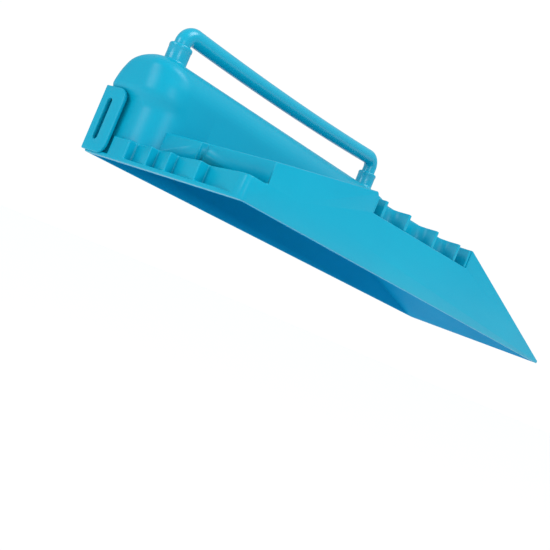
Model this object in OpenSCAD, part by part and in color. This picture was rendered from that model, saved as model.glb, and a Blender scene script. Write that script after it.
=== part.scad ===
/* [Body] */
// Length of the rim, from the stepped end to the thin tip
body_l = 450; // [400:10:500]
// Width of the rim
body_w = 140; // [130:2:160]
// Radius of the upright corners
corner_r = 4; // [2:1:6]
// Wall of the outer shell
shell_wall = 2.5; // [2:0.5:3]
// Height of the flat flange along the foot of the stepped end
flange_h = 2.5; // [2:0.5:4]

/* [Stepped end] */
// Height of the first step
step1_h = 14; // [12:1:16]
// Depth of the first step, measured along the body
step_depth = 15; // [14:1:20]
// Height of the second step, where the roof starts
step2_h = 27; // [26:1:30]
// Distance from the rim's edge to the liner, behind the jogs of the first step
liner_gap = 10; // [10:0.5:12]
// How far the liner's lip leans out to the rim under the first step
lip_run = 6; // [4:0.5:7]

/* [Roof and ramp] */
// Distance from the stepped end to the peak of the roof
peak_x = 112; // [100:2:120]
// Height of the roof at the peak
peak_h = 46; // [44:1:50]
// Distance from the stepped end to the top of the ramp
ramp_x = 254; // [240:2:270]
// Height of the roof at the top of the ramp
ramp_h = 51; // [50:1:56]
// Height of the blunt edge at the tip
tip_h = 2.5; // [2:0.5:4]

/* [Grip notch] */
// Distance from the stepped end to the start of the notch in the near wall
notch_x = 114; // [112:2:120]
// Depth of the notch into the body
notch_depth = 20; // [14:1:24]
// Height of the notch floor at its lower end
notch_z0 = 33; // [31:1:36]
// Height of the notch floor at the end next to the ramp
notch_z1 = 37; // [34:1:40]
// Thickness of the teeth of the comb
tooth_t = 3; // [2:0.5:5]
// Radius of the corner where the roof's peak drops into the notch
peak_r = 3.5; // [2:0.5:5]

/* [Ridge] */
// Width of the hollow ridge along the far side
ridge_w = 52; // [50:1:56]
// Distance from the rim's edge to the end wall of the ridge
ridge_x = 3; // [2.5:0.5:4]
// Height of the ridge at its rounded end
ridge_h0 = 70.5; // [69:0.5:74]
// Height of the ridge at its far end, before it slopes down
ridge_h1 = 75; // [74:0.5:78]
// Radius of the shoulders along the ridge
shoulder_r = 20; // [14:1:22]
// Radius of the ridge's near corner in plan
ridge_plan_r = 22; // [16:1:26]
// Radius of the edge between the ridge's end wall and its top
ridge_end_r = 12; // [8:1:16]

/* [Handle] */
// Diameter of the handle bar
bar_d = 11.4; // [9:0.2:12]
// Diameter of the upright legs of the handle
leg_d = 10.6; // [8:0.2:11]
// Distance between the two legs of the handle
leg_span = 229; // [215:0.5:235]
// Radius of the bends of the handle, at the centre of the bar
bend_r = 7.5; // [7:0.5:12]
// Height of the bar's centre at the left bend
bar_z = 91; // [88:0.5:96]
// Rise of the bar from the left bend to the right bend
bar_rise = 7.5; // [6:0.5:12]
// Outer diameter of the collars round the legs
collar_d = 15; // [14:0.5:16]

/* [End tab] */
// Width of the slotted tab
tab_w = 21; // [18:1:23]
// Height of the slotted tab
tab_h = 42; // [36:1:46]
// Radius of the tab's two near corners
tab_corner_r = 7; // [4:1:8]
// Thickness of the tab's plate
tab_t = 2.5; // [2:0.5:3]
// How far the tab stands out past the rim's edge
tab_proud = 2; // [1.5:0.5:3]
// Width of the slot
slot_w = 4.5; // [4:0.5:6]
// Length of the slot
slot_l = 27; // [20:1:30]

/* [Liner] */
// Wall of the smooth inner liner
liner_t = 2; // [1.5:0.5:2]
// Height of the smooth slab space at the stepped end
slab_z0 = 22; // [20:1:22]
// Height of the smooth slab space at the top of its ramp
slab_z1 = 29; // [27:1:29]
// Height of the ridge space
ridge_space_h = 60; // [56:1:62]

/* [Hidden] */
$fn = 64;
over = 1;
lap = 0.5;
blue = [0.05, 0.66, 0.83];
deep_blue = [0.02, 0.47, 0.70];
steel = [0.75, 0.76, 0.78];
half_w = body_w / 2;
ramp_slope = (ramp_h - tip_h) / (body_l - ramp_x);
step2_slope = (peak_h - step2_h) / (peak_x - step_depth);
ridge_y = half_w - ridge_w;
ridge_top_end = ramp_x + 2;
ridge_foot_end = ramp_x + 72;
centre_x = (body_l - tab_proud) / 2;
handle_y = half_w - ridge_w / 2 - 2;
ridge_tilt = atan2(ridge_h1 - ridge_h0, ridge_top_end - ridge_x - ridge_end_r);
left_leg_x = 17.5;
right_leg_x = left_leg_x + leg_span;
leg_end_left = 66.8;
leg_end_right = 72;
bar_x0 = left_leg_x + bend_r;
bar_x1 = right_leg_x - bend_r;
chord = sqrt(pow(bar_x1 - bar_x0, 2) + pow(bar_rise, 2));
chord_angle = atan2(bar_rise, bar_x1 - bar_x0);
// Jogs of the first step: [place across the body, depth]; its face slants back out between them
step1_jogs = [[30, 6.5], [10, 6.5], [-7, 6.5], [-32, 7.5]];
step1_end_y = 46;
// Jogs of the second step: [place across the body, distance before the jog, distance behind it]
step2_jogs = [[22, 10, 15], [-16, 10.5, 16]];
// Where the teeth of the comb stand, as shares of the notch's length
tooth_shares = [0.09, 0.31, 0.60, 0.855];
notch_l = ramp_x - notch_x;
screw_d = 3;
washer_d = 13;

// Where the liner's lip stands at height z: it leans out from x0 to meet the rim's outer edge
function lip_x(x0, z) = x0 - lip_run * (flange_h - z) / flange_h;

// Everything is drawn from the stepped end and then centred over the rim
module centred() {
    translate([-centre_x, 0, 0]) children();
}

// A profile in the length and height directions, drawn across the body from y0 to y1
module across(y0, y1) {
    translate([0, y1, 0]) rotate([90, 0, 0]) linear_extrude(y1 - y0) children();
}

// Rounded rectangle in plan, with its walls moved in by inset
module rounded_plan(x0, x1, y0, y1, r) {
    translate([x0 + r, y0]) square([x1 - x0 - 2 * r, y1 - y0]);
    translate([x0, y0 + r]) square([x1 - x0, y1 - y0 - 2 * r]);
    for (x = [x0 + r, x1 - r], y = [y0 + r, y1 - r]) translate([x, y]) circle(r);
}

// Zigzag fronts of the two steps and the flat flange under them, as seen from above
module step_fronts() {
    back_x = 2 * step_depth;
    linear_extrude(flange_h) translate([0, -half_w]) square([back_x, body_w]);
    linear_extrude(step1_h) polygon(concat(
        [[back_x, step1_end_y], [0, step1_end_y]],
        [for (j = step1_jogs, k = [0, 1]) [k * j[1], j[0]]],
        [[0, -half_w + 2 * corner_r], [0, -half_w], [back_x, -half_w]]));
}

// Block whose front is the zigzag of the second step
module step2_block() {
    linear_extrude(ridge_h1) polygon(concat(
        [[body_l, half_w], [step2_jogs[0][1], half_w]],
        [for (j = step2_jogs, k = [1, 2]) [j[k], j[0]]],
        [[step_depth, -half_w], [body_l, -half_w]]));
}

// Steps, roof and ramp of the body, seen from outside
module slab_form() {
    intersection() {
        union() {
            step_fronts();
            intersection() {
                step2_block();
                across(-half_w, half_w) polygon([
                    [0, 0],
                    [0, step2_h - step_depth * step2_slope],
                    [peak_x, peak_h],
                    [ramp_x, ramp_h],
                    [body_l, tip_h],
                    [body_l, 0]]);
            }
        }
        linear_extrude(ridge_h1) rounded_plan(0, body_l + corner_r, -half_w, half_w, corner_r);
    }
}

// The space under the steps, roof and ramp
module slab_core() {
    riser_x = step2_jogs[1][2] + shell_wall;
    across(-half_w + shell_wall, half_w - shell_wall) polygon([
        [lip_x(liner_gap, -over), -over],
        [liner_gap, flange_h],
        [liner_gap, step1_h - shell_wall],
        [riser_x, step1_h - shell_wall],
        [riser_x, step2_h - shell_wall],
        [peak_x, peak_h - shell_wall],
        [ramp_x, ramp_h - shell_wall],
        [body_l, tip_h - shell_wall],
        [body_l, -over]]);
}

// Outline of the ridge in plan: a large round at the near corner and a small one at the far corner
module ridge_plan(inset, x0) {
    far_r = max(corner_r - inset, 0.5);
    far_y = half_w - inset;
    round_y = ridge_y + ridge_plan_r;
    wall_x = x0 + inset;
    translate([x0 + ridge_plan_r, ridge_y + inset]) square([body_l, ridge_w - 2 * inset]);
    translate([wall_x, round_y]) square([body_l, far_y - far_r - round_y]);
    translate([wall_x + far_r, round_y]) square([body_l, far_y - round_y]);
    translate([x0 + ridge_plan_r, round_y]) circle(ridge_plan_r - inset);
    translate([wall_x + far_r, far_y - far_r]) circle(far_r);
}

// A bar that runs under the ridge's top line, which climbs by a small angle; 0 is at the top line
module under_ridge_top(inset) {
    translate([ridge_x + ridge_end_r, 0, ridge_h0 - inset]) rotate([0, -ridge_tilt, 0])
        translate([-2 * ridge_end_r, 0, 0]) rotate([90, 0, 90]) linear_extrude(body_l) children();
}

// Round-shouldered ridge along the far side
module ridge_form(inset) {
    low = inset > 0 ? -over : 0;
    y0 = ridge_y + inset;
    y1 = half_w - inset;
    r = shoulder_r - inset;
    deep = 2 * ridge_h1;
    end_x = ridge_x + ridge_end_r;
    intersection() {
        under_ridge_top(inset) {
            translate([y0, -deep]) square([y1 - y0, deep - r]);
            translate([y0 + r, -deep]) square([y1 - y0 - 2 * r, deep]);
            for (y = [y0 + r, y1 - r]) translate([y, -r]) circle(r);
        }
        across(ridge_y, half_w) {
            polygon([
                [ridge_x + inset, low],
                [ridge_x + inset, ridge_h0 - ridge_end_r],
                [end_x, ridge_h0 - ridge_end_r],
                [end_x, ridge_h1 + over],
                [ridge_top_end - inset, ridge_h1 + over],
                [ridge_top_end - inset, ridge_h1],
                [ridge_foot_end - inset, 0],
                [ridge_foot_end - inset, low]]);
            translate([end_x, ridge_h0 - ridge_end_r]) circle(ridge_end_r - inset);
        }
        translate([0, 0, low]) linear_extrude(ridge_h1 + over) ridge_plan(inset, ridge_x);
    }
}

// The notch cut into the top of the near wall; grow widens it on every side
module notch(grow) {
    across(-half_w - over, -half_w + notch_depth + grow) polygon([
        [notch_x - grow, notch_z0 - grow],
        [ramp_x + grow, notch_z1 - grow],
        [ramp_x + grow, ramp_h + over + grow],
        [notch_x - grow, ramp_h + over + grow]]);
}

// Rounds the roof's peak where it drops into the notch
module peak_corner() {
    across(-half_w - over, -half_w + notch_depth) difference() {
        translate([notch_x - peak_r, peak_h - peak_r]) square(peak_r + over);
        translate([notch_x - peak_r, peak_h - peak_r]) circle(peak_r);
    }
}

// Hole that a leg of the handle passes down through
module leg_hole(x, z0) {
    translate([x, handle_y, z0]) cylinder(h = ridge_h1, d = leg_d);
}

module outer_shell() color(blue) centred() difference() {
    union() {
        slab_form();
        ridge_form(0);
    }
    difference() {
        union() {
            slab_core();
            ridge_form(shell_wall);
        }
        notch(shell_wall);
        // The flange along the foot of the stepped end stays solid
        across(-half_w, half_w) polygon([
            [-body_w, -2 * over],
            [lip_x(liner_gap, -2 * over), -2 * over],
            [liner_gap, flange_h],
            [-body_w, flange_h]]);
    }
    notch(0);
    peak_corner();
    leg_hole(left_leg_x, leg_end_left - over);
    leg_hole(right_leg_x, leg_end_right - over);
}

// The smooth space that shapes the sand; grow is the liner's wall
module sand_space(grow) {
    low = grow > 0 ? 0 : -over;
    x0 = liner_gap + liner_t - grow;
    ledge_x = x0 + step_depth;
    side = shell_wall + liner_t - grow;
    ramp_drop = shell_wall + liner_t - grow + 0.4;
    union() {
        across(-half_w + side, half_w - side) polygon([
            [lip_x(x0, low), low],
            [x0, flange_h],
            [x0, step1_h - side],
            [ledge_x, step1_h - side],
            [ledge_x, slab_z0 + grow],
            [ramp_x + 46, slab_z1 + grow],
            [body_l - (ramp_drop - tip_h) / ramp_slope, low]]);
        ridge_space(grow, side, x0, low);
    }
}

// Round-topped space under the ridge
module ridge_space(grow, side, x0, low) {
    r = shoulder_r - 2 + grow;
    y0 = ridge_y + side;
    y1 = half_w - side;
    top = ridge_space_h + grow;
    intersection() {
        translate([0, 0, low]) rotate([90, 0, 90]) linear_extrude(body_l) {
            translate([y0, 0]) square([y1 - y0, top - r - low]);
            translate([y0 + r, 0]) square([y1 - y0 - 2 * r, top - low]);
            for (y = [y0 + r, y1 - r]) translate([y, top - r - low]) circle(r);
        }
        across(ridge_y, half_w) polygon([
            [x0, low],
            [x0, top - ridge_end_r],
            [x0 + ridge_end_r, top],
            [ridge_top_end - 22 + grow, top],
            [ridge_foot_end - 24 + grow, low]]);
        translate([0, 0, low]) linear_extrude(ridge_h1) ridge_plan(side, x0 - side);
    }
}

module inner_liner() color(deep_blue) centred() difference() {
    sand_space(liner_t);
    sand_space(0);
}

// One scalloped pocket between two teeth of the comb
module pocket(x0, x1, deep) {
    r = min(9, (x1 - x0) / 2 - 0.01);
    near = -half_w - over;
    translate([x0, near]) square([x1 - x0, deep - r + over]);
    translate([x0 + r, near]) square([x1 - x0 - 2 * r, deep + over]);
    for (x = [x0 + r, x1 - r]) translate([x, -half_w + deep - r]) circle(r);
}

module grip_comb() color(blue) centred() {
    wall = 3;
    edges = concat([0], [for (s = tooth_shares) s * notch_l], [notch_l]);
    difference() {
        across(-half_w + 1, -half_w + notch_depth) polygon([
            [notch_x, notch_z0],
            [ramp_x, notch_z1],
            [ramp_x, ramp_h - 1],
            [notch_x, peak_h - 2]]);
        linear_extrude(ramp_h + over) for (i = [0 : len(edges) - 2])
            pocket(notch_x + edges[i] + (i == 0 ? wall : tooth_t / 2),
                   notch_x + edges[i + 1] - (i == len(edges) - 2 ? wall : tooth_t / 2),
                   notch_depth - wall);
    }
}

// Slotted plate that stands clear of the end wall on a web along its far edge
module end_tab() color(blue) centred() {
    y1 = half_w - 0.5;
    y0 = y1 - tab_w;
    r = tab_corner_r;
    difference() {
        union() {
            translate([-tab_proud, 0, 0]) rotate([90, 0, 90]) linear_extrude(tab_t) {
                translate([y0 + r, 1]) square([tab_w - r, tab_h]);
                translate([y0, 1 + r]) square([tab_w, tab_h - 2 * r]);
                for (z = [1 + r, 1 + tab_h - r]) translate([y0 + r, z]) circle(r);
            }
            translate([-tab_proud, y1 - 5, 1]) cube([tab_proud + ridge_x, 2, tab_h]);
        }
        translate([-tab_proud - over, 0, 0]) rotate([90, 0, 90]) linear_extrude(tab_t + 2 * over) {
            yc = y0 + tab_w * 0.6;
            zc = 1 + tab_h / 2;
            translate([yc - slot_w / 2, zc - slot_l / 2 + slot_w / 2]) square([slot_w, slot_l - slot_w]);
            for (s = [-1, 1]) translate([yc, zc + s * (slot_l - slot_w) / 2]) circle(d = slot_w);
        }
    }
}

// A bend from an upright leg to the bar, in the length and height directions.
// It is a little thicker than the leg and thinner than the bar, and laps into both.
module bend(angle) {
    rotate([90, 0, 0]) rotate_extrude(angle = angle + lap / bend_r * 180 / PI)
        translate([bend_r, 0]) circle(d = (bar_d + leg_d) / 2);
}

module handle_bar() color(blue) centred() translate([0, handle_y, 0]) {
    left_turn = 90 - chord_angle;
    right_turn = 90 + chord_angle;
    left_bend_z = bar_z - bend_r * sin(left_turn);
    bar_start = [left_leg_x + bend_r * (1 - cos(left_turn)), bar_z];
    bar_end = [bar_start[0] + chord * cos(chord_angle), bar_start[1] + chord * sin(chord_angle)];
    right_bend_z = bar_end[1] - bend_r * sin(right_turn);
    difference() {
        union() {
            translate([left_leg_x, 0, leg_end_left])
                cylinder(h = left_bend_z - leg_end_left + lap, d = leg_d);
            translate([left_leg_x + bend_r, 0, left_bend_z]) mirror([1, 0, 0]) bend(left_turn);
            translate([bar_start[0], 0, bar_start[1]]) rotate([0, 90 - chord_angle, 0])
                cylinder(h = chord, d = bar_d);
            translate([right_leg_x - bend_r, 0, right_bend_z]) bend(right_turn);
            translate([right_leg_x, 0, leg_end_right])
                cylinder(h = right_bend_z - leg_end_right + lap, d = leg_d);
        }
        for (leg = [[left_leg_x, leg_end_left], [right_leg_x, leg_end_right]])
            translate([leg[0], 0, leg[1] - over]) cylinder(h = 9 + over, d = screw_d);
    }
}

// A collar with a flared foot, from height z0 to z1
module collar(x, z0, z1) {
    translate([x, handle_y, 0]) difference() {
        union() {
            translate([0, 0, z0]) cylinder(h = z1 - z0, d = collar_d);
            translate([0, 0, z0]) cylinder(h = 3, d1 = collar_d + 3, d2 = collar_d);
        }
        translate([0, 0, z0 - over]) cylinder(h = z1 - z0 + 2 * over, d = leg_d);
    }
}

module left_collar() color(blue) centred() difference() {
    collar(left_leg_x, 67, 82);
    ridge_form(0);
}

module right_collar() color(blue) centred() difference() {
    collar(right_leg_x, 71.5, 87);
    ridge_form(0);
}

module handle_screws() color(steel) centred()
    for (leg = [[left_leg_x, leg_end_left], [right_leg_x, leg_end_right]])
        translate([leg[0], handle_y, leg[1]]) {
            translate([0, 0, -1]) cylinder(h = 9, d = screw_d);
            translate([0, 0, -2.5]) cylinder(h = 1.5, d = 6);
        }

module screw_washers() color(steel) centred()
    for (leg = [[left_leg_x, leg_end_left], [right_leg_x, leg_end_right]])
        translate([leg[0], handle_y, leg[1] - 1]) difference() {
            cylinder(h = 1, d = washer_d);
            translate([0, 0, -over]) cylinder(h = 3, d = screw_d);
        }

outer_shell();
inner_liner();
grip_comb();
end_tab();
handle_bar();
left_collar();
right_collar();
handle_screws();
screw_washers();
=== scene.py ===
# %% [markdown]
# # A plastic hand mould with a tubular handle
#
# The real object is a hollow hand mould, open underneath, moulded in one bright blue plastic. It is
# pressed on damp sand to shape a slab with a raised wall and a ramp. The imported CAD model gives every
# size and place. This scene adds what a solid model leaves out: rounded moulded edges, draft, the sweep
# of the handle, screw heads and the skin of the plastic.

# %% Load the frame
import math

import bmesh
import bpy
from mathutils import Matrix, Vector


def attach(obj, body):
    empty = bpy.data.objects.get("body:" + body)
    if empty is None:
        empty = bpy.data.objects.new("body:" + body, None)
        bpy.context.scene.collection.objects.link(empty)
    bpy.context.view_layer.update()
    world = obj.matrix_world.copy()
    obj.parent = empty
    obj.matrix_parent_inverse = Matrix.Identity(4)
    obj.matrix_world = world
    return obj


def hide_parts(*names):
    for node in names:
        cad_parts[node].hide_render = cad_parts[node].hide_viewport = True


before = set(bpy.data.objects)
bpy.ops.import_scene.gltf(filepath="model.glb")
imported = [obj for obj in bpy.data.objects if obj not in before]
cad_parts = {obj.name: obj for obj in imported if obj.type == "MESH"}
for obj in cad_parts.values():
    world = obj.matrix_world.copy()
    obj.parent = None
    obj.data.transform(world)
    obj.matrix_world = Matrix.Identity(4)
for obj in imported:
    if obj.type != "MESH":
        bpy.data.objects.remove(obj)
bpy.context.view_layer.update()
MM = 0.001
print("nodes:", sorted(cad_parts))

# %% [markdown]
# ## The camera
#
# The camera looks at the tool from the near corner of its stepped end, a little below the rim, and it is
# rolled so that the tool seems lifted at that end. A roll is easiest to set as a turn about the line of
# sight: aim first, then turn.

# %% Camera
CAMERA_PLACE = Vector((-539.6, -369.0, -44.1)) * MM
CAMERA_AIM = Vector((1.6, 74.4, -19.7)) * MM
CAMERA_ROLL = math.radians(22.5)
LENS_MM = 55.6


def rolled_view(place, aim, roll):
    """A camera's placement: looking from place to aim, and turned by roll about that line."""
    look = (aim - place).to_track_quat("-Z", "Y").to_matrix().to_4x4()
    return Matrix.Translation(place) @ look @ Matrix.Rotation(roll, 4, "Z")


camera = bpy.data.objects.new("camera", bpy.data.cameras.new("camera"))
camera.data.lens = LENS_MM
camera.data.sensor_width = 36
camera.matrix_world = rolled_view(CAMERA_PLACE, CAMERA_AIM, CAMERA_ROLL)
bpy.context.scene.collection.objects.link(camera)
bpy.context.scene.camera = camera
print("camera at", [round(c / MM) for c in CAMERA_PLACE], "mm")

# %% [markdown]
# ## Colours
#
# Colours are picked as sRGB hex values, the way a paint or screen shows them. Shaders work in linear
# light, so one function turns the hex value into linear numbers.


# %% Hex colours to linear
def linear(hex_colour):
    """Linear red, green, blue and alpha of an sRGB hex colour such as #14A8D2."""
    out = []
    for i in (1, 3, 5):
        c = int(hex_colour[i:i + 2], 16) / 255
        out.append(c / 12.92 if c <= 0.04045 else ((c + 0.055) / 1.055) ** 2.4)
    return (*out, 1.0)


# %% Add a node with its settings and links
def add(tree, kind, settings=None, **links):
    """Adds a node, sets its attributes and links or sets its inputs, and returns it."""
    node = tree.nodes.new(kind)
    for key, value in (settings or {}).items():
        setattr(node, key, value)
    for key, value in links.items():
        socket = node.inputs[int(key[1:])] if key[1:].isdigit() else node.inputs[key.replace("_", " ")]
        if isinstance(value, bpy.types.NodeSocket):
            tree.links.new(value, socket)
        else:
            socket.default_value = value
    return node


# %% [markdown]
# ## Moulded plastic
#
# The tool is a polyolefin, such as polypropylene, injected into a polished steel mould. It comes out with
# a satin skin: not quite mirror smooth, with a fine orange-peel texture, long soft flow marks and a
# slightly milky depth where light enters the skin. Its IOR is about 1.49 and its roughness about 0.3.


# %% Plastic material
MILKY_DEPTH_MM = 1.2


def moulded_plastic(name, hex_colour, hex_deep, roughness, peel_mm, sheen):
    """Injection-moulded polyolefin with an orange-peel skin of grains peel_mm across."""
    mat = bpy.data.materials.new(name)
    mat.use_nodes = True
    tree = mat.node_tree
    shader = tree.nodes["Principled BSDF"]
    place = add(tree, "ShaderNodeTexCoord").outputs["Object"]
    stretched = add(tree, "ShaderNodeMapping", Vector=place, Scale=(0.35, 1.0, 1.0)).outputs[0]
    flow = add(tree, "ShaderNodeTexNoise", Vector=stretched, Scale=18.0, Detail=3.0, Roughness=0.5)
    tone = add(tree, "ShaderNodeMapRange", Value=flow.outputs["Fac"], From_Min=0.3, From_Max=0.7,
               To_Min=0.0, To_Max=1.0)
    colour = add(tree, "ShaderNodeMix", {"data_type": "RGBA"}, _0=tone.outputs[0],
                 _6=linear(hex_colour), _7=linear(hex_deep))
    peel = add(tree, "ShaderNodeTexNoise", Vector=place, Scale=1 / (peel_mm * MM), Detail=2.0)
    rough = add(tree, "ShaderNodeMapRange", Value=peel.outputs["Fac"], From_Min=0.3, From_Max=0.7,
                To_Min=roughness - 0.05, To_Max=roughness + 0.06)
    bump = add(tree, "ShaderNodeBump", Height=peel.outputs["Fac"], Strength=0.12, Distance=0.05 * MM)
    tree.links.new(colour.outputs[2], shader.inputs["Base Color"])
    tree.links.new(rough.outputs[0], shader.inputs["Roughness"])
    tree.links.new(bump.outputs[0], shader.inputs["Normal"])
    shader.inputs["IOR"].default_value = 1.49
    shader.inputs["Specular IOR Level"].default_value = sheen
    shader.inputs["Subsurface Weight"].default_value = 0.08
    shader.inputs["Subsurface Radius"].default_value = (0.3, 0.8, 1.0)
    shader.inputs["Subsurface Scale"].default_value = MILKY_DEPTH_MM * MM
    return mat


shell_plastic = moulded_plastic("blue_polypropylene_satin", "#009DBA", "#0096B5", 0.34, 0.9, 0.2)
# The liner is the same plastic as the shell. Its colours #0086B6 and #007FAF are darker than the shell's:
# painted shade of the inside of the hollow.
liner_plastic = moulded_plastic("blue_polypropylene_matt_painted_shade", "#0086B6", "#007FAF", 0.6, 1.2, 0.02)
handle_plastic = moulded_plastic("blue_polypropylene_gloss", "#00A3C0", "#009CBA", 0.24, 3.0, 0.4)
print("plastics:", shell_plastic.name, liner_plastic.name, handle_plastic.name)

# %% [markdown]
# ## Zinc-plated steel
#
# The two screws and their washers are ordinary hardware: steel with a bright zinc plate. It is fully
# metallic, pale grey with a faint blue cast, and its roughness wanders where the plate is cloudy.


# %% Zinc material
def zinc_plate(name):
    """Bright zinc plate with a cloudy sheen about 2 mm across and fine turning marks."""
    mat = bpy.data.materials.new(name)
    mat.use_nodes = True
    tree = mat.node_tree
    shader = tree.nodes["Principled BSDF"]
    place = add(tree, "ShaderNodeTexCoord").outputs["Object"]
    cloud = add(tree, "ShaderNodeTexNoise", Vector=place, Scale=1 / (2.0 * MM), Detail=3.0)
    tone = add(tree, "ShaderNodeMix", {"data_type": "RGBA"}, _0=cloud.outputs["Fac"],
               _6=linear("#BFC3C6"), _7=linear("#D3D6DA"))
    rough = add(tree, "ShaderNodeMapRange", Value=cloud.outputs["Fac"], From_Min=0.3, From_Max=0.7,
                To_Min=0.22, To_Max=0.4)
    turning = add(tree, "ShaderNodeTexNoise", Vector=place, Scale=1 / (0.2 * MM), Detail=1.0)
    bump = add(tree, "ShaderNodeBump", Height=turning.outputs["Fac"], Strength=0.1, Distance=0.02 * MM)
    tree.links.new(tone.outputs[2], shader.inputs["Base Color"])
    tree.links.new(rough.outputs[0], shader.inputs["Roughness"])
    tree.links.new(bump.outputs[0], shader.inputs["Normal"])
    shader.inputs["Metallic"].default_value = 1.0
    return mat


zinc = zinc_plate("bright_zinc_plate")
print("metal:", zinc.name)

# %% [markdown]
# ## Moulded edges
#
# A moulded part has no razor edges: the steel is rounded everywhere, so that the plastic flows and the
# part lets go. The CAD solids are exact but sharp. Modelling every round by hand would be slow and would
# drift from the CAD, so each casing starts as a copy of its CAD solid. The copy's flat triangles are
# merged back into whole faces, and a Bevel modifier rolls every edge that is sharper than a limit.


# %% Copy a CAD solid and round its edges
SHARPER_THAN = 32


def clean_copy(node, name):
    """A new object with a CAD node's shape, its flat triangles merged into whole faces."""
    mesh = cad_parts[node].data.copy()
    mesh.materials.clear()
    bm = bmesh.new()
    bm.from_mesh(mesh)
    bmesh.ops.remove_doubles(bm, verts=bm.verts, dist=0.002 * MM)
    bmesh.ops.dissolve_limit(bm, angle_limit=math.radians(0.6), verts=bm.verts, edges=bm.edges)
    for face in bm.faces:
        face.smooth = True
    bm.to_mesh(mesh)
    bm.free()
    mesh.name = name
    piece = bpy.data.objects.new(name, mesh)
    bpy.context.scene.collection.objects.link(piece)
    return piece


def inside(spot, box):
    """True when a point in metres lies in a box given by two corners in mm. No box holds no point."""
    return box is not None and all(a <= c / MM <= b for a, c, b in zip(box[0], spot, box[1]))


def round_edges(piece, radius_mm, longer_than_mm=0.0, keep_sharp=None):
    """Rounds the edges that turn and run more than the limits.

    keep_sharp is a box in mm where edges stay sharp, because two rounds would run into each other there.
    """
    bm = bmesh.new()
    bm.from_mesh(piece.data)
    weight = bm.edges.layers.float.new("bevel_weight_edge")
    for edge in bm.edges:
        turns = edge.is_manifold and edge.calc_face_angle(0) > math.radians(SHARPER_THAN)
        long_enough = edge.calc_length() > longer_than_mm * MM
        crowded = all(inside(v.co, keep_sharp) for v in edge.verts)
        edge[weight] = 1.0 if turns and long_enough and not crowded else 0.0
    bm.to_mesh(piece.data)
    bm.free()
    bevel = piece.modifiers.new("moulded_rounds", "BEVEL")
    bevel.width = radius_mm * MM
    bevel.segments = 3
    bevel.limit_method = "WEIGHT"
    bevel.use_clamp_overlap = False
    bevel.harden_normals = True
    bevel.miter_outer = "MITER_ARC"
    return piece


def finish_piece(piece, material, slot, *nodes):
    """Gives a piece its material and sets it in place of its CAD nodes. The slot is not used."""
    piece.data.materials.append(material)
    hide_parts(*nodes)
    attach(piece, "root")
    print(piece.name, "stands for", nodes, "with", len(piece.data.polygons), "faces before rounding")
    return piece


# %% [markdown]
# ## The rounded end of the ridge
#
# In the solid model the end of the ridge is three rounds cut through each other, which leaves creases
# where they meet. The moulded tool has one flowing dome there. A dome like that is easiest to build in
# level slices: every slice is a rectangle with rounded corners, and the walls move in and the corners
# grow rounder from slice to slice. The slices start as the CAD outline and end as its flat top, and the
# end wall swells by a few millimetres above the tab. The dome takes the place of the creased faces. Its
# edges lie along the casing's but are not welded to them, and its near foot ends inside the body.

# %% Sizes of the ridge's end
CENTRE_X = 224.0
RIDGE_NEAR_Y = 18.0
RIDGE_FAR_Y = 70.0
SHOULDER_R = 20.0
CORNER_R = 22.0
END_WALL_X = 3.0
DOME_FOOT_Z = 14.5
DOME_JOIN_X = 45.0
END_ROUND_X = 15.0
END_ROUND_R = 10.0
END_SWELL = 4.6
SWELL_FROM_Z = 38.0
SWELL_TO_Z = 47.0
RIDGE_TILT = 4.5 / 241.0
TOP_AT_JOIN = 70.5 + (DOME_JOIN_X - END_ROUND_X) * RIDGE_TILT


def ease(low, high, value):
    """0 below low, 1 above high, and a smooth S between them."""
    t = min(max((value - low) / (high - low), 0.0), 1.0)
    return t * t * (3 - 2 * t)


def round_in(z, top, r):
    """How far a wall that ends in a round of radius r under top has moved in at height z."""
    up = max(z - (top - r), 0.0)
    return r - math.sqrt(max(r * r - up * up, 0.0))


def dome_slice(z):
    """The outline of the dome at height z, from the near wall round the end to the far wall."""
    near_y = RIDGE_NEAR_Y + round_in(z, TOP_AT_JOIN, SHOULDER_R)
    far_y = RIDGE_FAR_Y - round_in(z, TOP_AT_JOIN, SHOULDER_R)
    swell = END_SWELL * ease(SWELL_FROM_Z, SWELL_TO_Z, z)
    wall_x = END_WALL_X - swell + round_in(z, TOP_AT_JOIN, END_ROUND_R)
    climb = ease(34, TOP_AT_JOIN - 4, z)
    near_r = CORNER_R - 9.0 * ease(56, TOP_AT_JOIN, z)
    far_r = 4.0 + 9.5 * climb
    squeeze = min(1.0, 0.98 * (far_y - near_y) / (near_r + far_r))
    near_r *= squeeze
    far_r *= squeeze
    points = [(DOME_JOIN_X, near_y), (38.0, near_y), (31.0, near_y)]
    for i in range(25):
        a = math.radians(270 - 90 * i / 24)
        points.append((wall_x + near_r + near_r * math.cos(a), near_y + near_r + near_r * math.sin(a)))
    for i in range(17):
        a = math.radians(180 - 90 * i / 16)
        points.append((wall_x + far_r + far_r * math.cos(a), far_y - far_r + far_r * math.sin(a)))
    return points + [(31.0, far_y), (38.0, far_y), (DOME_JOIN_X, far_y)]


def dome_heights():
    """Heights of the slices, closer together where the walls turn in."""
    straight = [DOME_FOOT_Z + (TOP_AT_JOIN - SHOULDER_R - DOME_FOOT_Z) * i / 14 for i in range(14)]
    turning = [TOP_AT_JOIN - SHOULDER_R * (1 - math.sin(math.radians(90 * i / 26))) for i in range(27)]
    return straight + turning


def fit_tilt(x, z):
    """Lowers a point so that the dome's top follows the ridge's slight climb."""
    share = min(max((z - 30.0) / (TOP_AT_JOIN - 30.0), 0.0), 1.0)
    return z - (DOME_JOIN_X - max(x, END_ROUND_X)) * RIDGE_TILT * share


def is_ridge_end(face):
    """True for an outer face of the ridge's end above the first step."""
    spot = face.calc_center_median() / MM
    x, y, z = spot.x + CENTRE_X, spot.y, spot.z
    if x > DOME_JOIN_X or y < RIDGE_NEAR_Y - 0.05 or z < DOME_FOOT_Z:
        return False
    outward = Vector((x - 50.0, y - 44.0, max(z - 40.0, 0.0)))
    return face.normal.dot(outward) > 0


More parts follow.
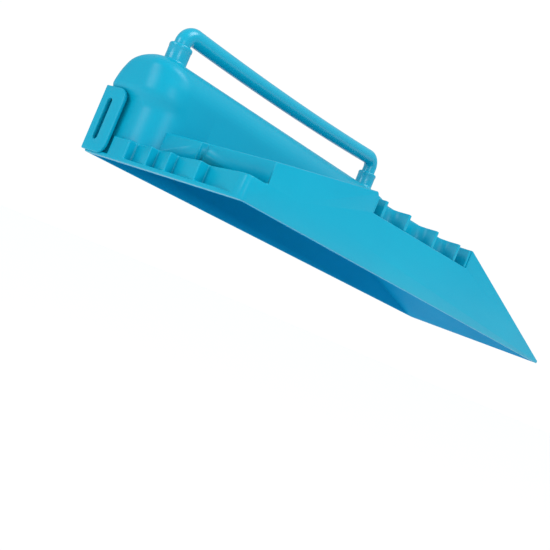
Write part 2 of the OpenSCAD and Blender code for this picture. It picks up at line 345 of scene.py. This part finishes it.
def flow_ridge_end(bm):
    """Swaps the ridge end's creased outer faces for the dome's slices."""
    cuts = (((DOME_JOIN_X - CENTRE_X, 0, 0), (1, 0, 0)), ((0, 0, DOME_FOOT_Z), (0, 0, 1)))
    for spot, normal in cuts:
        near_end = [f for f in bm.faces if f.calc_center_median().x / MM + CENTRE_X < 300]
        parts = {e for f in near_end for e in f.edges} | {v for f in near_end for v in f.verts}
        bmesh.ops.bisect_plane(bm, geom=near_end + list(parts), plane_co=Vector(spot) * MM,
                               plane_no=normal, dist=1e-6)
    old = [f for f in bm.faces if is_ridge_end(f)]
    bmesh.ops.delete(bm, geom=old, context="FACES")
    rows = []
    for z in dome_heights():
        row = [Vector((x - CENTRE_X, y, fit_tilt(x, z))) * MM for x, y in dome_slice(z)]
        rows.append([bm.verts.new(spot) for spot in row])
    for low, high in zip(rows, rows[1:]):
        for i in range(len(low) - 1):
            bm.faces.new((low[i], high[i], high[i + 1], low[i + 1]))
    bm.faces.new(rows[-1])
    return len(old)


# %% Casing pieces
FAR_FLANGE_CORNER = ((-224.1, 66, 2.4), (-213, 70.1, 2.6))

shell = clean_copy("outer_shell", "shell_casing")
bm = bmesh.new()
bm.from_mesh(shell.data)
print("outer faces given up to the dome:", flow_ridge_end(bm))
bmesh.ops.recalc_face_normals(bm, faces=bm.faces)
for face in bm.faces:
    face.smooth = True
bm.to_mesh(shell.data)
bm.free()
round_edges(shell, 0.8, longer_than_mm=0.45, keep_sharp=FAR_FLANGE_CORNER)
finish_piece(shell, shell_plastic, "shell_plastic", "outer_shell")
liner = round_edges(clean_copy("inner_liner", "smooth_liner"), 0.5, longer_than_mm=4.0)
finish_piece(liner, liner_plastic, "liner_plastic", "inner_liner")
comb = round_edges(clean_copy("grip_comb", "scalloped_comb"), 0.5)
finish_piece(comb, shell_plastic, "shell_plastic", "grip_comb")
tab = round_edges(clean_copy("end_tab", "slotted_tab"), 0.6)
finish_piece(tab, shell_plastic, "shell_plastic", "end_tab")

# %% [markdown]
# ## The handle
#
# The handle is one round bar with two tight bends. It hangs a little slack between them: its middle sits
# about 2 mm under the straight line that the solid model uses. The clean way to make such a bar is to
# sweep a circle along a path that lies in one upright plane: every ring needs only a point, a direction
# and a radius. The legs are a touch thinner than the bar, as they must slip into their collars.

# %% Sizes of the handle
HANDLE_Y = 42.0
LEG_X = (17.5 - CENTRE_X, 246.5 - CENTRE_X)
LEG_FOOT_Z = (66.8, 72.0)
BEND_R = 7.5
BAR_Z = (91.0, 98.5)
BAR_R = 5.7
LEG_R = 5.3
SAG = 1.8
SCREW_HOLE_R = 1.5
RING = 48


# %% The handle's path
def handle_path():
    """Points, directions and radii along the handle, in mm in its upright plane."""
    rise = math.atan2(BAR_Z[1] - BAR_Z[0], LEG_X[1] - LEG_X[0] - 2 * BEND_R)
    sag_angle = math.atan2(4 * SAG, LEG_X[1] - LEG_X[0] - 2 * BEND_R)
    path = []

    def leg(x, z_from, z_to, turn):
        for i in range(7):
            path.append((x, z_from + (z_to - z_from) * i / 6, turn, LEG_R))

    left_turn = math.pi / 2 - (rise - sag_angle)
    right_turn = math.pi / 2 + (rise + sag_angle)
    left_z = BAR_Z[0] - BEND_R * math.sin(left_turn)
    right_z = BAR_Z[1] - BEND_R * math.sin(right_turn)
    leg(LEG_X[0], LEG_FOOT_Z[0], left_z, 0)
    for i in range(1, 17):
        t = i / 16
        a = left_turn * t
        path.append((LEG_X[0] + BEND_R * (1 - math.cos(a)), left_z + BEND_R * math.sin(a), a,
                     LEG_R + (BAR_R - LEG_R) * t))
    x0, z0 = path[-1][0], path[-1][1]
    x1 = LEG_X[1] - BEND_R * (1 - math.cos(right_turn))
    z1 = right_z + BEND_R * math.sin(right_turn)
    for i in range(1, 40):
        t = i / 40
        slope = (z1 - z0) / (x1 - x0) - 4 * SAG * (1 - 2 * t) / (x1 - x0)
        path.append((x0 + (x1 - x0) * t, z0 + (z1 - z0) * t - 4 * SAG * t * (1 - t),
                     math.pi / 2 - math.atan(slope), BAR_R))
    for i in range(17):
        t = 1 - i / 16
        a = right_turn * t
        path.append((LEG_X[1] - BEND_R * (1 - math.cos(a)), right_z + BEND_R * math.sin(a),
                     math.pi - a, LEG_R + (BAR_R - LEG_R) * t))
    leg(LEG_X[1], right_z - 0.5, LEG_FOOT_Z[1], math.pi)
    return path


# %% Sweep a round bar
def new_piece(name, bm):
    """An object with the mesh in bm, smooth shaded with its sharp edges kept."""
    mesh = bpy.data.meshes.new(name)
    bmesh.ops.recalc_face_normals(bm, faces=bm.faces)
    for face in bm.faces:
        face.smooth = True
    for edge in bm.edges:
        edge.smooth = edge.calc_face_angle(0) < math.radians(50)
    bm.to_mesh(mesh)
    bm.free()
    piece = bpy.data.objects.new(name, mesh)
    bpy.context.scene.collection.objects.link(piece)
    return piece


def bridge(bm, rings):
    """Quads between each ring of vertices and the next."""
    for low, high in zip(rings, rings[1:]):
        for i in range(len(low)):
            j = (i + 1) % len(low)
            bm.faces.new((low[i], low[j], high[j], high[i]))


def ring_at(bm, x, z, turn, radius):
    """A ring of vertices square to the path. turn is 0 where the path climbs straight up."""
    side = Vector((math.cos(turn), 0, -math.sin(turn)))
    across = Vector((0, 1, 0))
    out = []
    for i in range(RING):
        a = 2 * math.pi * i / RING
        spot = Vector((x, HANDLE_Y, z)) + side * radius * math.cos(a) + across * radius * math.sin(a)
        out.append(bm.verts.new(spot * MM))
    return out


def swept_handle():
    """The handle bar, with a round-edged foot and a screw hole at the end of each leg."""
    bm = bmesh.new()
    path = handle_path()
    rings = []
    foot_round = 0.6
    x, z, turn, r = path[0]
    for dz, dr in ((9.0, SCREW_HOLE_R - r), (0.0, SCREW_HOLE_R - r), (0.0, -foot_round)):
        rings.append(ring_at(bm, x, z + dz, turn, r + dr))
    rings.append(ring_at(bm, x, z + 0.3 * foot_round, turn, r - 0.3 * foot_round))
    rings.append(ring_at(bm, x, z + foot_round, turn, r))
    rings += [ring_at(bm, *spot) for spot in path[1:-1]]
    x, z, turn, r = path[-1]
    rings.append(ring_at(bm, x, z + foot_round, turn, r))
    rings.append(ring_at(bm, x, z + 0.3 * foot_round, turn, r - 0.3 * foot_round))
    for dz, dr in ((0.0, -foot_round), (0.0, SCREW_HOLE_R - r), (9.0, SCREW_HOLE_R - r)):
        rings.append(ring_at(bm, x, z + dz, turn, r + dr))
    bridge(bm, rings)
    bm.faces.new(rings[0])
    bm.faces.new(rings[-1])
    return new_piece("swept_handle", bm)


handle = swept_handle()
finish_piece(handle, handle_plastic, "handle_plastic", "handle_bar")

# %% [markdown]
# ## Turned shapes
#
# The collars, the screws and the washers are round about an upright axis. Each one is a profile of radius
# and height spun about that axis. A collar flares where it meets the ridge and ends in a rounded lip that
# stands a hair proud of its neck, and that lip is what catches the light under the bend of the bar.


# %% Spin a profile about an upright axis
def lathe(bm, x, profile):
    """Adds a closed ring solid: profile is a closed loop of (radius, height) in mm."""
    rings = []
    for radius, z in profile:
        ring = []
        for i in range(RING):
            a = 2 * math.pi * i / RING
            spot = Vector((x + radius * math.cos(a), HANDLE_Y + radius * math.sin(a), z))
            ring.append(bm.verts.new(spot * MM))
        rings.append(ring)
    bridge(bm, rings + rings[:1])


def arc(radius, z, r, start, end, steps=6):
    """Points on a quarter round of a profile, from one angle to another in degrees."""
    turns = [math.radians(start + (end - start) * i / steps) for i in range(steps + 1)]
    return [(radius + r * math.cos(a), z + r * math.sin(a)) for a in turns]


def collar(name, x, z_foot, z_top):
    """A collar: flared foot, straight neck, rounded lip and a small bevel round its bore."""
    bore = LEG_R + 0.02
    outer = 7.3
    profile = [(bore, z_foot), (9.0, z_foot), (9.0, z_foot + 1.2)]
    profile += arc(9.0, z_foot + 3.4, 1.7, 250, 180)
    profile += [(outer, z_top - 2.6), (7.5, z_top - 2.2)]
    profile += arc(6.5, z_top - 1.0, 1.0, 0, 90)
    profile += [(bore + 0.5, z_top), (bore, z_top - 0.5)]
    bm = bmesh.new()
    lathe(bm, x, profile)
    return new_piece(name, bm)


left = collar("left_collar_turned", LEG_X[0], 68.3, 82.0)
finish_piece(left, handle_plastic, "handle_plastic", "left_collar")
right = collar("right_collar_turned", LEG_X[1], 73.2, 87.0)
finish_piece(right, handle_plastic, "handle_plastic", "right_collar")


# %% Screws with a domed head and a thread, and washers with rolled edges
def screw_profile(z):
    """A pan head under z, and a threaded shank above it."""
    head = [(0.2, z - 1.5 + 0.9), (0.9, z - 1.5 + 0.9), (1.0, z - 1.5)]
    head += arc(2.2, z - 0.7, 0.8, -90, 0)
    head += [(3.0, z - 0.1), (2.9, z)]
    shank = []
    for i in range(9):
        shank += [(1.25, z + 0.2 + i), (1.48, z + 0.5 + i), (1.48, z + 0.6 + i)]
    return head + shank + [(0.9, z + 9.0), (0.2, z + 9.0)]


def washer_profile(z):
    """A flat ring from z to z + 1 with 0.2 mm rolled edges."""
    r = 0.2
    inner, outer = 1.5, 6.5
    return (arc(outer - r, z + r, r, -90, 0, 3) + arc(outer - r, z + 1 - r, r, 0, 90, 3)
            + arc(inner + r, z + 1 - r, r, 90, 180, 3) + arc(inner + r, z + r, r, 180, 270, 3))


screws = bmesh.new()
washers = bmesh.new()
for leg_x, foot_z in zip(LEG_X, LEG_FOOT_Z):
    lathe(screws, leg_x, screw_profile(foot_z - 1))
    lathe(washers, leg_x, washer_profile(foot_z - 1))
finish_piece(new_piece("pan_screws", screws), zinc, "zinc_steel", "handle_screws")
finish_piece(new_piece("round_washers", washers), zinc, "zinc_steel", "screw_washers")

# %% [markdown]
# ## Floor and light
#
# The tool hangs above a plain pale floor, in a white studio. A white sky gives even fill. A high sun as
# wide as a window washes the floor and the long near wall alike, so that floor and sky melt into one
# white. Two soft lamps stand on the left: one lights the faces that look to the near side, and the other
# lights the steps, the tab and the end of the ridge.

# %% Floor
FLOOR_Z = -450 * MM


def floor_material():
    """Matt off-white paper."""
    mat = bpy.data.materials.new("studio_paper")
    mat.use_nodes = True
    shader = mat.node_tree.nodes["Principled BSDF"]
    place = add(mat.node_tree, "ShaderNodeTexCoord").outputs["Object"]
    fibre = add(mat.node_tree, "ShaderNodeTexNoise", Vector=place, Scale=900.0, Detail=2.0)
    bump = add(mat.node_tree, "ShaderNodeBump", Height=fibre.outputs["Fac"], Strength=0.05,
               Distance=0.05 * MM)
    mat.node_tree.links.new(bump.outputs[0], shader.inputs["Normal"])
    shader.inputs["Base Color"].default_value = linear("#F6F6F6")
    shader.inputs["Roughness"].default_value = 0.9
    return mat


def plane(name, half, z):
    """A square sheet lying at height z."""
    bm = bmesh.new()
    bmesh.ops.create_grid(bm, x_segments=1, y_segments=1, size=half)
    mesh = bpy.data.meshes.new(name)
    bm.to_mesh(mesh)
    bm.free()
    sheet = bpy.data.objects.new(name, mesh)
    sheet.location.z = z
    bpy.context.scene.collection.objects.link(sheet)
    return sheet


floor = plane("floor", 30.0, FLOOR_Z)
floor.data.materials.append(floor_material())

# %% Sky
def studio_sky(seen, fill):
    """A plain sky that looks white to the eye but fills the shadows with less light than that."""
    world = bpy.data.worlds.new("studio")
    bpy.context.scene.world = world
    world.use_nodes = True
    tree = world.node_tree
    ray = add(tree, "ShaderNodeLightPath")
    white = add(tree, "ShaderNodeBackground", Color=linear("#FFFFFF"), Strength=seen)
    soft = add(tree, "ShaderNodeBackground", Color=linear("#F2F6FA"), Strength=fill)
    both = add(tree, "ShaderNodeMixShader", Fac=ray.outputs["Is Camera Ray"])
    tree.links.new(soft.outputs[0], both.inputs[1])
    tree.links.new(white.outputs[0], both.inputs[2])
    tree.links.new(both.outputs[0], tree.nodes["World Output"].inputs["Surface"])


studio_sky(seen=1.02, fill=0.62)


# %% Lamps
def softbox(name, place, aim, size, power):
    """A square lamp at place that faces aim."""
    lamp = bpy.data.lights.new(name, "AREA")
    lamp.size = size
    lamp.energy = power
    holder = bpy.data.objects.new(name, lamp)
    holder.matrix_world = rolled_view(Vector(place), Vector(aim), 0)
    bpy.context.scene.collection.objects.link(holder)
    return holder


def window_sun(name, place, strength, spread):
    """An even light from far away in the direction of place, as wide as spread in degrees."""
    lamp = bpy.data.lights.new(name, "SUN")
    lamp.energy = strength
    lamp.angle = math.radians(spread)
    holder = bpy.data.objects.new(name, lamp)
    holder.matrix_world = rolled_view(Vector(place), Vector((0, 0, 0)), 0)
    bpy.context.scene.collection.objects.link(holder)
    return holder


window_sun("window", (0.1, -0.8, 1.3), 2.05, 35)
softbox("key", (-0.9, -1.2, 0.2), (-0.1, -0.05, 0.03), 0.5, 3.6)
softbox("side", (-1.3, 0.3, 0.35), (-0.15, 0.0, 0.05), 0.5, 4.8)
bpy.context.scene.view_settings.view_transform = "Standard"
print("floor at", FLOOR_Z / MM, "mm")
